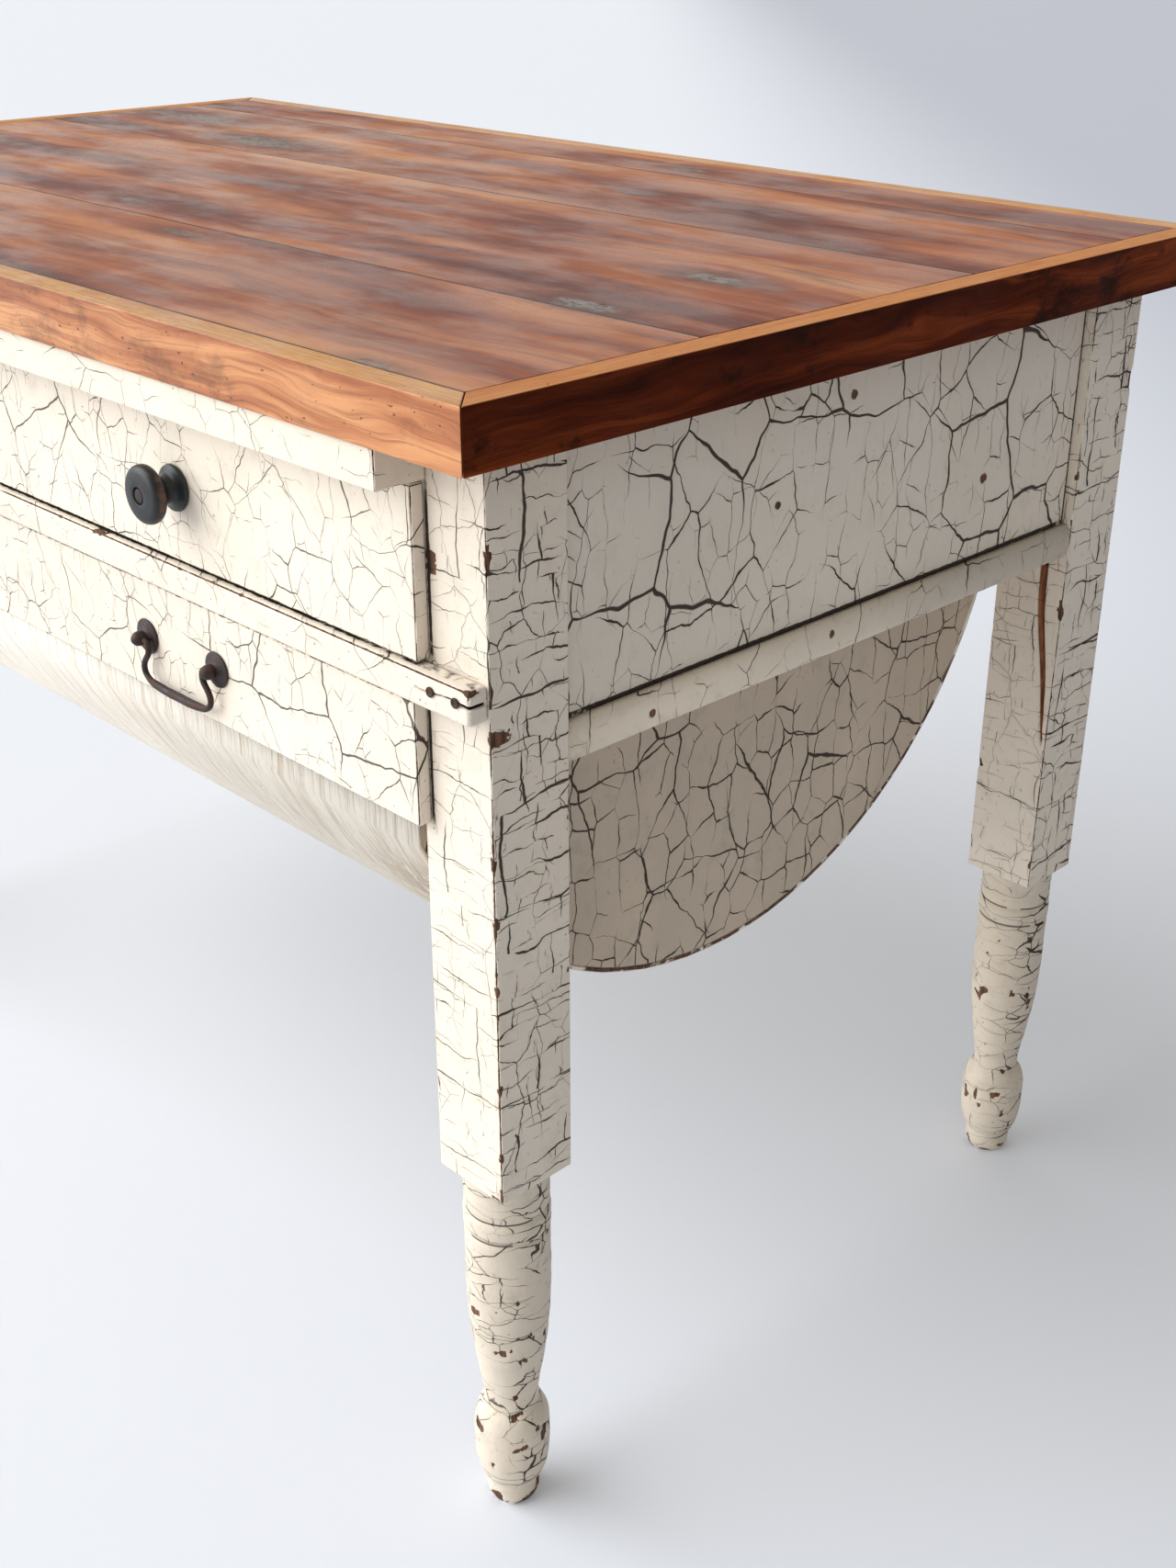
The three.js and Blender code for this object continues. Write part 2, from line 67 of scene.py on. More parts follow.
# ---- Camera, floor and light ---------------------------------------------------------
def make_camera():
    camera = bpy.data.objects.new("camera", bpy.data.cameras.new("camera"))
    camera.location = (1.2009, -0.8750, 0.9806)
    camera.rotation_euler = (math.radians(63.757), 0, math.radians(45.829))
    camera.data.sensor_width = 36
    camera.data.lens = 42.55
    camera.data.clip_start = 0.02
    bpy.context.scene.collection.objects.link(camera)
    bpy.context.scene.camera = camera


def make_lights():
    world = bpy.data.worlds.new("studio")
    bpy.context.scene.world = world
    world.use_nodes = True
    tree = world.node_tree
    background = tree.nodes["Background"]
    # The room is brighter on the window side, to the left of the table's front.
    coordinates = tree.nodes.new("ShaderNodeTexCoord")
    side = tree.nodes.new("ShaderNodeVectorMath")
    side.operation = "DOT_PRODUCT"
    side.inputs[1].default_value = (-0.82, -0.52, 0.24)
    tree.links.new(coordinates.outputs["Generated"], side.inputs[0])
    ramp = tree.nodes.new("ShaderNodeMapRange")
    ramp.inputs["From Min"].default_value = -0.8
    ramp.inputs["From Max"].default_value = 0.7
    ramp.inputs["To Min"].default_value = 0.14
    ramp.inputs["To Max"].default_value = 1.00
    tree.links.new(side.outputs["Value"], ramp.inputs["Value"])
    tree.links.new(ramp.outputs["Result"], background.inputs["Strength"])
    background.inputs["Color"].default_value = (0.95, 0.94, 0.90, 1)

    key = bpy.data.objects.new("window_light", bpy.data.lights.new("window_light", "SUN"))
    key.data.energy = 3.75
    key.data.angle = math.radians(68)
    key.data.color = (0.940, 0.968, 1.0)
    toward = Vector((0.66, 0.75, -0.55))
    key.rotation_euler = toward.to_track_quat("-Z", "Y").to_euler()
    bpy.context.scene.collection.objects.link(key)
    bpy.context.scene.view_settings.view_transform = "Standard"


# ---- Material nodes, written as expressions --------------------------------------------
class Graph:
    """One material's nodes. Each call adds a node and returns its output socket.
    Positions are in the piece's own frame, in metres."""

    def __init__(self, name):
        self.material = bpy.data.materials.new(name)
        self.material.use_nodes = True
        self.tree = self.material.node_tree
        self.tree.nodes.clear()
        coordinates = self.node("ShaderNodeTexCoord")
        self.position = coordinates.outputs["Object"]
        self.normal = coordinates.outputs["Normal"]

    def node(self, kind, inputs=None, **settings):
        made = self.tree.nodes.new(kind)
        for key, value in settings.items():
            setattr(made, key, value)
        for key, value in (inputs or {}).items():
            if isinstance(value, bpy.types.NodeSocket):
                self.tree.links.new(value, made.inputs[key])
            else:
                made.inputs[key].default_value = value
        return made

    def math(self, operation, a, b=0.0, clamp=False):
        return self.node("ShaderNodeMath", {0: a, 1: b}, operation=operation, use_clamp=clamp).outputs[0]

    def add(self, a, b):
        return self.math("ADD", a, b)

    def less(self, a, b):
        return self.math("SUBTRACT", a, b)

    def times(self, *values):
        product = values[0]
        for value in values[1:]:
            product = self.math("MULTIPLY", product, value)
        return product

    def most(self, *values):
        top = values[0]
        for value in values[1:]:
            top = self.math("MAXIMUM", top, value)
        return top

    def vector(self, operation, a, b):
        return self.node("ShaderNodeVectorMath", {0: a, 1: b}, operation=operation).outputs[0]

    def parts(self, vector):
        return self.node("ShaderNodeSeparateXYZ", {0: vector}).outputs

    def joined(self, x, y, z):
        return self.node("ShaderNodeCombineXYZ", {0: x, 1: y, 2: z}).outputs[0]

    def scaled(self, vector, size, seed=0.0):
        """Position counted in features of that size along X, Y and Z."""
        sizes = (size,) * 3 if isinstance(size, (int, float)) else size
        grown = self.vector("MULTIPLY", vector, tuple(1 / s for s in sizes))
        return self.vector("ADD", grown, (seed, seed * 0.7, -seed)) if seed else grown

    def noise(self, size, detail=2.0, roughness=0.5, seed=0.0, vector=None, colour=False):
        at = self.scaled(vector or self.position, size, seed)
        made = self.node("ShaderNodeTexNoise", {"Vector": at, "Scale": 1.0, "Detail": detail,
                                                "Roughness": roughness})
        return made.outputs["Color" if colour else "Fac"]

    def ease(self, value, low, high, to=(0.0, 1.0)):
        made = self.node("ShaderNodeMapRange", {"Value": value, "From Min": low, "From Max": high,
                                                "To Min": to[0], "To Max": to[1]},
                         interpolation_type="SMOOTHSTEP")
        return made.outputs["Result"]

    def ramp(self, value, stops):
        made = self.node("ShaderNodeValToRGB", {0: value})
        band = made.color_ramp.elements
        while len(band) < len(stops):
            band.new(0.5)
        for element, (place, colour) in zip(band, stops):
            element.position = place
            element.color = (*colour, 1)
        return made.outputs["Color"]

    def mix(self, share, a, b, blend="MIX"):
        made = self.node("ShaderNodeMix", data_type="RGBA", blend_type=blend)
        for socket, value in ((made.inputs[0], share), (made.inputs[6], a), (made.inputs[7], b)):
            if isinstance(value, bpy.types.NodeSocket):
                self.tree.links.new(value, socket)
            else:
                socket.default_value = (*value, 1) if isinstance(value, tuple) else value
        return made.outputs[2]

    def attribute(self, name):
        return self.node("ShaderNodeAttribute", attribute_name=name).outputs["Fac"]

    def near(self, centre, radius, seed=0.0):
        """1 inside a ragged blot about a point, 0 outside it."""
        away = self.vector("SUBTRACT", self.position, centre)
        length = self.node("ShaderNodeVectorMath", {0: away}, operation="LENGTH").outputs["Value"]
        ragged = self.noise(radius * 0.7, 3, 0.6, seed)
        reach = self.times(self.add(ragged, 0.5), radius)
        return self.less(1.0, self.ease(length, self.times(reach, 0.75), reach))

    def patch(self, centre, half, seed=0.0):
        """1 inside a ragged-edged box, 0 outside it."""
        away = self.vector("DIVIDE", self.vector("SUBTRACT", self.position, centre), half)
        x, y, z = (self.math("ABSOLUTE", part) for part in self.parts(away))
        ragged = self.times(self.less(self.noise(0.006, 3, 0.6, seed), 0.5), 0.9)
        return self.less(1.0, self.ease(self.add(self.most(x, y, z), ragged), 0.85, 1.1))

    def finish(self, colour, roughness, height, depth=0.001, **uniform):
        """height is in steps of depth metres; uniform holds the shader's own plain settings."""
        bump = self.node("ShaderNodeBump", {"Height": height, "Distance": depth, "Strength": 1.0})
        shader = self.node("ShaderNodeBsdfPrincipled", {"Base Color": colour, "Roughness": roughness,
                                                        "Normal": bump.outputs[0]})
        for key, value in uniform.items():
            shader.inputs[key.replace("_", " ")].default_value = value
        out = self.node("ShaderNodeOutputMaterial")
        self.tree.links.new(shader.outputs[0], out.inputs["Surface"])
        return self.material


def crack_lines(g, cell, width, share=(0.40, 0.56), wander=0.45, seed=0.0, thin=1.0, jitter=0.8,
                bricks=False):
    """A network of cracks round cells of that size, which are two numbers, across and up,
    on upright faces, or three on round pieces. Returns how far inside a crack each point
    lies, and how near one it is, both 0 to 1. share sets how much of it has opened, and
    bricks makes level cracks with upright ones between them."""
    flat = len(cell) == 2
    at = g.position
    if flat:
        x, y, z = g.parts(g.position)
        at = g.joined(g.add(x, y), z, 0.0)
        cell = (*cell, 1.0)
    narrow = min(cell)
    bent = at
    for size, reach in ((1.1, wander), (0.20, wander * 0.16)):
        drift = g.noise(narrow * size, 1, 0.5, seed + 3, vector=at, colour=True)
        offset = g.vector("MULTIPLY", g.vector("SUBTRACT", drift, (0.5,) * 3), (narrow * reach,) * 3)
        bent = g.vector("ADD", bent, offset)
    bent = g.scaled(bent, cell, seed)
    if bricks:
        over, up, _ = g.parts(bent)
        row = g.math("FLOOR", up)
        shift = g.node("ShaderNodeTexWhiteNoise", {"W": row}, noise_dimensions="1D").outputs["Value"]
        sets = ((up, cell[1], (cell[0] * 1.1, cell[1] * 0.7, 1.0)),
                (g.add(over, shift), cell[0], (cell[0] * 0.5, cell[1] * 1.2, 1.0)))
    else:
        cells = g.node("ShaderNodeTexVoronoi", {"Vector": bent, "Scale": 1.0, "Randomness": jitter},
                       voronoi_dimensions="2D" if flat else "3D", feature="DISTANCE_TO_EDGE")
        sets = ((cells.outputs["Distance"], narrow, tuple(c * 1.5 for c in cell)),)
    lines, halo = 0.0, 0.0
    for i, (steps, size, patches) in enumerate(sets):
        if bricks:
            steps = g.math("FRACT", steps)
            steps = g.math("MINIMUM", steps, g.less(1.0, steps))
        distance = g.times(steps, size)
        opened = g.ease(g.noise(patches, 2, 0.5, seed + 9 + i, vector=at), *share)
        half = g.times(opened, thin, width / 2)
        line = g.less(1.0, g.ease(distance, g.times(half, 0.45), half))
        lines = g.most(lines, g.times(line, g.math("GREATER_THAN", opened, 0.04)))
        halo = g.most(halo, g.times(g.less(1.0, g.ease(distance, 0.0, width * 3.5)), opened))
    return lines, halo


# ---- Paint ---------------------------------------------------------------------------
CRACK_BROWN = (0.056, 0.040, 0.028)
RAW_BROWN = (0.115, 0.055, 0.030)


def paint(name, base=(0.80, 0.710, 0.597), nets=(), grime=0.25, front_thin=0.5, blots=(),
          streaks=None, edge_wood=False, dust=0.4, dirt_and_gap_shade=()):
    """Old cream paint. nets lists the crack networks, from wide to hairline, blots the
    nail heads and small bare spots, and the last argument, as boxes, the gaps and joints between parts where shade
    is painted dark brown."""
    g = Graph(name)
    # Faces towards the front get narrower cracks: partly their own finer crackle, partly painted light, as the
    # strong light on the fronts washes cracks out.
    facing_front = g.ease(g.times(g.parts(g.normal)[1], -1.0), 0.3, 0.8)
    thin = g.less(1.0, g.times(facing_front, 1 - front_thin))
    cracks, halo = 0.0, 0.0
    for net in nets:
        line, near = crack_lines(g, thin=thin, **net)
        cracks = g.most(cracks, line)
        halo = g.most(halo, near)

    tone = g.noise(0.16, 3, 0.55, 1)
    colour = g.mix(g.ease(tone, 0.36, 0.66), tuple(c * 0.93 for c in base), base)
    warm = g.noise((0.09, 0.09, 0.22), 4, 0.6, 5)
    colour = g.mix(g.times(g.ease(warm, 0.50, 0.72), 0.30), colour, (0.76, 0.63, 0.46))
    smudge = g.noise(0.020, 4, 0.62, 8)
    colour = g.mix(g.times(g.ease(smudge, 0.52, 0.75), grime), colour, (0.44, 0.385, 0.30))
    height_up = g.parts(g.position)[2]
    # Painted shade under the top's overhang: darker and warmer high up, much less on faces towards the front.
    painted_overhang_shade = g.times(g.ease(height_up, 0.67, 0.745), g.less(0.34, g.times(facing_front, 0.24)))
    colour = g.mix(painted_overhang_shade, colour, (0.58, 0.45, 0.29))
    if streaks:
        run = g.noise(streaks, 3, 0.65, 11)
        colour = g.mix(g.times(g.ease(run, 0.46, 0.66), 0.50), colour, (0.50, 0.38, 0.25))
        fine = g.noise(tuple(s * 0.40 for s in streaks), 2, 0.6, 12)
        colour = g.mix(g.times(g.ease(fine, 0.54, 0.72), 0.45), colour, (0.33, 0.22, 0.13))
    colour = g.mix(g.times(halo, 0.10), colour, (0.47, 0.38, 0.27))
    # Cracks turn light grey on faces towards the front: painted light, the wash of the strong light on those
    # faces.
    colour = g.mix(cracks, colour, g.mix(facing_front, CRACK_BROWN, (0.115, 0.100, 0.085)))
    specks = g.noise(0.0042, 2, 0.5, 14)
    colour = g.mix(g.times(g.ease(specks, 0.70, 0.76), dust), colour, (0.20, 0.17, 0.14))

    # Chips down to the wood: the mesh says where, and fine noise gives them crisp edges.
    edge = g.add(g.attribute("wear"), g.times(g.less(g.noise(0.0032, 3, 0.6, 17), 0.5), 1.1))
    chip = g.ease(edge, 0.46, 0.54)
    if edge_wood:
        along = g.ease(g.math("ABSOLUTE", g.parts(g.normal)[0]), 0.6, 0.8)
        along = g.times(along, g.less(1.0, g.ease(height_up, 0.44, 0.48)))
        chip = g.most(chip, g.times(along, g.ease(g.noise(0.012, 3, 0.6, 19), 0.40, 0.48)))
    for centre, radius in blots:
        chip = g.most(chip, g.near(centre, radius, 21))
    grain = g.noise((0.003, 0.003, 0.03), 3, 0.6, 23)
    raw = g.mix(g.ease(grain, 0.35, 0.65), tuple(c * 0.55 for c in RAW_BROWN),
                tuple(c * 1.5 for c in RAW_BROWN))
    colour = g.mix(chip, colour, raw)
    # Painted shade: dark brown boxes along the gaps and joints between parts.
    for centre, half in dirt_and_gap_shade:
        colour = g.mix(g.patch(centre, half, 33), colour, (0.040, 0.026, 0.018))
    split = g.attribute("split")
    colour = g.mix(g.ease(split, 0.3, 0.6), colour,
                   g.mix(g.ease(grain, 0.4, 0.6), (0.30, 0.105, 0.028), (0.13, 0.045, 0.015)))
    # Near-black where the mesh's dark layer is set: painted shade in the turned grooves, the rear leg's split and
    # the middle rail's open crack.
    colour = g.mix(g.ease(g.attribute("dark"), 0.35, 0.6), colour, (0.012, 0.009, 0.007))

    brush = g.noise((0.0011, 0.0011, 0.018), 2, 0.5, 25)
    lumps = g.noise(0.007, 3, 0.6, 27)
    height = g.add(g.times(brush, 0.10), g.times(lumps, 0.22))
    height = g.less(height, g.times(cracks, 0.9))
    height = g.add(height, g.times(halo, 0.16))
    height = g.less(height, g.times(chip, g.add(0.35, g.times(grain, 0.4))))
    if streaks:
        height = g.add(height, g.times(run, 0.35))
    rough = g.add(g.times(g.noise(0.05, 3, 0.6, 29), 0.25), 0.38)
    rough = g.add(rough, g.times(g.most(chip, cracks), 0.30))
    return g.finish(colour, rough, height, IOR=1.38)


# ---- Wood ----------------------------------------------------------------------------
# Knots in the top: X, Y, half length along the grain, half width, and how dark.
KNOTS = (
    (0.446, -0.143, 0.030, 0.011, 1.0),
    (0.446, -0.036, 0.028, 0.012, 0.9),
    (0.091, -0.176, 0.026, 0.007, 0.6),
    (-0.057, -0.127, 0.018, 0.008, 0.7),
    (-0.250, 0.134, 0.060, 0.020, 0.9),
    (-0.451, 0.193, 0.070, 0.022, 0.7),
    (0.130, 0.280, 0.022, 0.007, 0.8),
    (0.473, -0.314, 0.020, 0.006, 0.6),
    (0.183, 0.163, 0.018, 0.006, 0.7),
)


def plank_wood(name, seed, low_y, high_y):
    """Reddish-brown softwood with dark streaks, along X, under worn satin varnish, and
    dark along its joints with the next planks."""
    g = Graph(name)
    x, y, z = g.parts(g.position)
    bend = g.times(g.less(g.noise((0.30, 0.11, 0.11), 3, 0.5, seed), 0.5), 0.060)
    across = g.add(y, bend)
    knot, ring = 0.0, 0.0
    for kx, ky, long, wide, dark in KNOTS:
        dx = g.times(g.less(x, kx), 1 / long)
        dy = g.times(g.less(y, ky), 1 / wide)
        wobble = g.times(g.less(g.noise(0.012, 2, 0.5, seed + 2), 0.5), 1.2)
        reach = g.add(g.math("POWER", g.add(g.times(dx, dx), g.times(dy, dy)), 0.5), wobble)
        pull = g.math("EXPONENT", g.times(reach, reach, -0.16))
        across = g.less(across, g.times(g.less(across, ky), pull, 0.85))
        knot = g.most(knot, g.times(g.less(1.0, g.ease(reach, 0.55, 0.95)), dark))
        ring = g.most(ring, g.times(g.less(1.0, g.ease(reach, 0.9, 2.6)), dark))
    flow = g.joined(x, across, z)

    def field(size, detail, roughness, extra):
        return g.noise(size, detail, roughness, seed + extra, vector=flow)

    tone = field((0.46, 0.060, 0.2), 4, 0.55, 1)
    colour = g.ramp(tone, (
        (0.30, (0.075, 0.013, 0.006)), (0.42, (0.170, 0.034, 0.012)), (0.50, (0.285, 0.074, 0.021)),
        (0.60, (0.410, 0.138, 0.042)), (0.74, (0.510, 0.220, 0.076))))
    plum = field((0.26, 0.030, 0.2), 4, 0.56, 4)
    colour = g.mix(g.times(g.ease(plum, 0.50, 0.70), 0.72), colour, (0.095, 0.018, 0.014))
    line = field((0.20, 0.0034, 0.1), 3, 0.55, 6)
    colour = g.mix(g.times(g.ease(line, 0.46, 0.70), 0.30), colour, (0.120, 0.032, 0.016))
    pore = field((0.020, 0.0008, 0.1), 1, 0.5, 8)
    colour = g.mix(g.times(g.ease(pore, 0.60, 0.75), 0.22), colour, (0.06, 0.020, 0.012))
    stain = g.noise((0.14, 0.10, 0.2), 4, 0.65, seed + 10)
    colour = g.mix(g.times(g.ease(stain, 0.60, 0.78), 0.55), colour, (0.045, 0.018, 0.020))
    colour = g.mix(g.times(ring, 0.80), colour, (0.075, 0.018, 0.012))
    heart = g.mix(g.ease(g.noise((0.010, 0.003, 0.1), 4, 0.7, seed + 12), 0.45, 0.6),
                  (0.190, 0.150, 0.130), (0.040, 0.024, 0.019))
    colour = g.mix(knot, colour, heart)
    low_joint = g.less(1.0, g.ease(y, low_y + 0.0006, low_y + 0.0016))
    joint = g.most(low_joint, g.ease(y, high_y - 0.0016, high_y - 0.0006))
    colour = g.mix(g.times(joint, 0.85), colour, (0.020, 0.008, 0.006))

    height = g.add(g.times(line, 0.35), g.times(pore, 0.12))
    height = g.less(height, g.times(knot, g.noise(0.004, 3, 0.6, seed + 14), 0.9))
    height = g.add(height, g.times(g.noise((0.10, 0.05, 0.1), 2, 0.5, seed + 16), 1.3))
    worn = g.noise((0.10, 0.05, 0.1), 4, 0.62, seed + 18)
    rough = g.ease(worn, 0.38, 0.66, (0.26, 0.50))
    return g.finish(colour, rough, height, IOR=1.31)


def band_wood(name, along, side, seed, dark=0.0):
    """A banding board: stained and figured on its outer face, paler and golden on top."""
    g = Graph(name)
    fine = {"x": (0.10, 0.0016, 0.0020), "y": (0.0016, 0.10, 0.0020)}[along]
    broad = {"x": (0.22, 0.02, 0.016), "y": (0.02, 0.22, 0.016)}[along]
    x, y, z = g.parts(g.position)
    bend = g.times(g.less(g.noise((0.11, 0.11, 0.030), 2, 0.5, seed + 12), 0.5), 0.030)
    flow = g.joined(x, y, g.add(z, bend))
    tone = g.noise(broad, 4, 0.6, seed, vector=flow)
    line = g.noise(fine, 3, 0.6, seed + 2, vector=flow)
    colour = g.ramp(tone, side)
    colour = g.mix(g.times(g.ease(line, 0.48, 0.66), 0.42), colour,
                   (0.045, 0.008, 0.002) if dark else (0.16, 0.045, 0.015))
    patch = g.noise((0.050, 0.050, 0.028), 4, 0.7, seed + 4)
    colour = g.mix(g.times(g.ease(patch, 0.52, 0.68), 0.35 + dark), colour, (0.022, 0.006, 0.003))
    fleck = g.noise((0.006, 0.006, 0.0025), 2, 0.5, seed + 6)
    colour = g.mix(g.times(g.ease(fleck, 0.70, 0.76), 0.8), colour, (0.045, 0.018, 0.012))
    top = g.ease(g.parts(g.normal)[2], 0.55, 0.9)
    golden = g.mix(g.ease(line, 0.42, 0.66), (0.56, 0.270, 0.070), (0.42, 0.160, 0.035))
    golden = g.mix(g.times(g.ease(tone, 0.5, 0.66), 0.45), golden, (0.34, 0.10, 0.025))
    golden = g.mix(dark, golden, (0.42, 0.165, 0.085))
    colour = g.mix(top, colour, golden)
    height = g.add(g.times(line, 0.35), g.times(g.noise(0.03, 2, 0.5, seed + 8), 0.8))
    height = g.less(height, g.times(g.ease(fleck, 0.70, 0.76), 0.5))
    rough = g.ease(g.noise(0.05, 3, 0.6, seed + 10), 0.35, 0.65, (0.45, 0.60) if dark else (0.26, 0.46))
    return g.finish(colour, rough, height, IOR=1.38, Specular_IOR_Level=0.05 if dark else 0.5)


def bare_wood(name, along, seed):
    """Unpainted pine inside the table, dry and a little grey."""
    g = Graph(name)
    size = {"x": (1.0, 0.06, 0.06), "y": (0.06, 1.0, 0.06), "z": (0.06, 0.06, 1.0)}[along]
    grain = g.noise(tuple(0.10 * s for s in size), 4, 0.6, seed)
    line = g.noise(tuple(0.03 * s for s in size), 3, 0.6, seed + 2)
    colour = g.ramp(grain, ((0.30, (0.27, 0.145, 0.065)), (0.52, (0.45, 0.28, 0.14)),
                            (0.70, (0.56, 0.38, 0.21))))
    colour = g.mix(g.times(g.ease(line, 0.50, 0.70), 0.45), colour, (0.22, 0.12, 0.055))
    dirt_and_gap_shade = g.noise(0.07, 4, 0.65, seed + 4)
    colour = g.mix(g.times(g.ease(dirt_and_gap_shade, 0.5, 0.75), 0.4), colour, (0.20, 0.15, 0.11))
    height = g.add(g.times(line, 0.5), g.times(grain, 0.4))
    rough = g.add(g.times(dirt_and_gap_shade, 0.25), 0.6)
    return g.finish(colour, rough, height)


# ---- Knobs and iron --------------------------------------------------------------------
def knob_finish():
    g = Graph("knob_black")
    worn = g.add(g.attribute("wear"), g.times(g.less(g.noise(0.004, 4, 0.65, 2), 0.5), 1.3))
    tone = g.noise(0.012, 4, 0.6, 4)
    colour = g.mix(g.ease(tone, 0.35, 0.65), (0.007, 0.0075, 0.0085), (0.017, 0.019, 0.021))
    colour = g.mix(g.ease(worn, 0.50, 0.70), colour, (0.085, 0.035, 0.020))
    height = g.add(g.times(tone, 0.25), g.times(g.noise(0.0016, 2, 0.5, 6), 0.08))
    rough = g.add(g.times(g.noise(0.006, 3, 0.6, 8), 0.30), 0.25)
    return g.finish(colour, rough, height, IOR=1.42)


def iron_finish():
    g = Graph("rusty_iron")
    rust = g.noise(0.007, 5, 0.65, 2)
    colour = g.ramp(rust, ((0.35, (0.020, 0.016, 0.018)), (0.52, (0.040, 0.023, 0.020)),
                           (0.66, (0.100, 0.038, 0.020)), (0.80, (0.180, 0.070, 0.032))))
    height = g.add(g.times(rust, 0.35), g.times(g.noise(0.0012, 3, 0.6, 4), 0.18))
    rough = g.ease(rust, 0.35, 0.65, (0.38, 0.75))
    return g.finish(colour, rough, height, Metallic=0.45)


# ---- Meshes --------------------------------------------------------------------------
def edge_lines(low, high, radius, step, extra=()):
    """Grid lines along one axis: close together at the rounded ends, step apart between."""
    near = [0.0, 0.5 * radius, 0.8 * radius, radius]
    reach = radius
    while reach * 1.7 < min(step, (high - low) / 4):
        reach *= 1.7
        near.append(reach)
    middle = np.linspace(low + reach, high - reach, max(2, round((high - low - 2 * reach) / step) + 1))
    lines = {*(low + v for v in near), *(high - v for v in near), *middle.tolist(), *extra}
    kept = []
    for value in sorted(lines):
        if low - 1e-9 <= value <= high + 1e-9 and (not kept or value - kept[-1] > 1e-5):
            kept.append(value)
    return kept


def box_shell(lines):
    """Points and outward quads of a box's surface, on a grid with these X, Y and Z lines."""
    last = [len(axis) - 1 for axis in lines]
    index, points, quads = {}, [], []

    def vertex(key):
        if key not in index:
            index[key] = len(points)
            points.append([lines[a][key[a]] for a in range(3)])
        return index[key]

    for axis in range(3):
        u, v = (axis + 1) % 3, (axis + 2) % 3
        for side in (0, last[axis]):
            for i in range(last[u]):
                for j in range(last[v]):
                    corners = []
                    for du, dv in ((0, 0), (1, 0), (1, 1), (0, 1)):
                        key = [0, 0, 0]
                        key[axis], key[u], key[v] = side, i + du, j + dv
                        corners.append(vertex(tuple(key)))
                    quads.append(corners if side else corners[::-1])
    return np.array(points), quads


def rough_noise(point, size, seed=0.0):
    at = Vector(point) / size + Vector((seed, -seed, seed * 0.5))
    return noise.noise(at) * 0.65 + noise.noise(at * 2.3) * 0.35


def worn_block(low, high, radius=0.0012, step=0.008, fine=None, wear=0.0, chips=(), extra=((), (), ()),
               seed=0.0, depth=0.0012, rub=None):
    """A rounded board with its arrises nibbled away. wear is how much of them has chipped,
    a number or a function of the point, chips lists centre and half sizes of larger ones,
    and rub says how much of an arris is rubbed to a thin line of bare wood."""
    low, high = np.array(low, float), np.array(high, float)
    longest = int(np.argmax(high - low))
    steps = [fine if fine and a == longest else step for a in range(3)]
    points, quads = box_shell([edge_lines(low[a], high[a], radius, steps[a], extra[a]) for a in range(3)])
    inner = np.clip(points, low + radius, high - radius)
    away = points - inner
    normals = away / np.linalg.norm(away, axis=1)[:, None]
    sides = np.sort(np.minimum(points - low, high - points), axis=1)
    arris = sides[:, 1]
    amounts = []
    for point, distance in zip(points, arris):
        share = wear(point) if callable(wear) else wear
        value = 0.0
        if distance < 0.012 and share > 0:
            jag = rough_noise(point, 0.011, seed)
            value = (jag - (0.50 - share) - distance / 0.010) / 0.12
        for centre, sizes in chips:
            reach = np.linalg.norm((point - np.array(centre)) / np.array(sizes))
            value = max(value, (1 + 0.9 * rough_noise(point, min(sizes) * 0.9, seed) - reach) / 0.25)
        if rub and distance < 0.002:
            value = max(value, (rub(point) + rough_noise(point, 0.016, seed + 5) - distance / 0.0014) / 0.25)
        amounts.append(min(max(value, 0.0), 1.0))
    amounts = np.array(amounts)
    points = inner + normals * radius - normals * (amounts * depth)[:, None]
    return {"points": points, "faces": quads, "wear": amounts, "normals": normals}


def lathe(profile, segments=64, ripple=None, wear=None):
    """Radius and height pairs revolved about Z. ripple gives a change of radius at a point,
    and wear how chipped it is."""
    points, amounts = [], []
    for radius, height in profile:
        for k in range(segments):
            turn = 2 * math.pi * k / segments
            at = (radius * math.cos(turn), radius * math.sin(turn), height)
            change = ripple(at) if ripple else 0.0
            points.append(((radius + change) * math.cos(turn), (radius + change) * math.sin(turn), height))
            amounts.append(wear(at) if wear else 0.0)
    quads = []
    for ring in range(len(profile) - 1):
        for k in range(segments):
            a, b = ring * segments + k, ring * segments + (k + 1) % segments
            quads.append([a, b, b + segments, a + segments])
    quads.append(list(range(segments))[::-1])
    top = (len(profile) - 1) * segments
    quads.append([top + k for k in range(segments)])
    return {"points": np.array(points), "faces": quads, "wear": np.array(amounts)}


def turned_to_front(part, x, y, z):
    """Lays a part turned about Z along -Y, with its foot at (x, y, z)."""
    old = part["points"]
    part["points"] = np.column_stack([old[:, 0] + x, y - old[:, 2], old[:, 1] + z])
    return part


def curve_points(controls, count):
    """A Bezier curve through its first and last control points."""
    made = []
    for i in range(count + 1):
        row, t = [np.array(c, float) for c in controls], i / count
        while len(row) > 1:
            row = [a * (1 - t) + b * t for a, b in zip(row, row[1:])]
        made.append(tuple(row[0]))
    return made


def evenly(path, step):
    """The same line with points no further apart than step."""
    made = [path[0]]
    for a, b in zip(path, path[1:]):
        parts = max(1, math.ceil(math.dist(a, b) / step))
        made += [tuple(np.array(a) + (np.array(b) - np.array(a)) * k / parts) for k in range(1, parts + 1)]
    return made


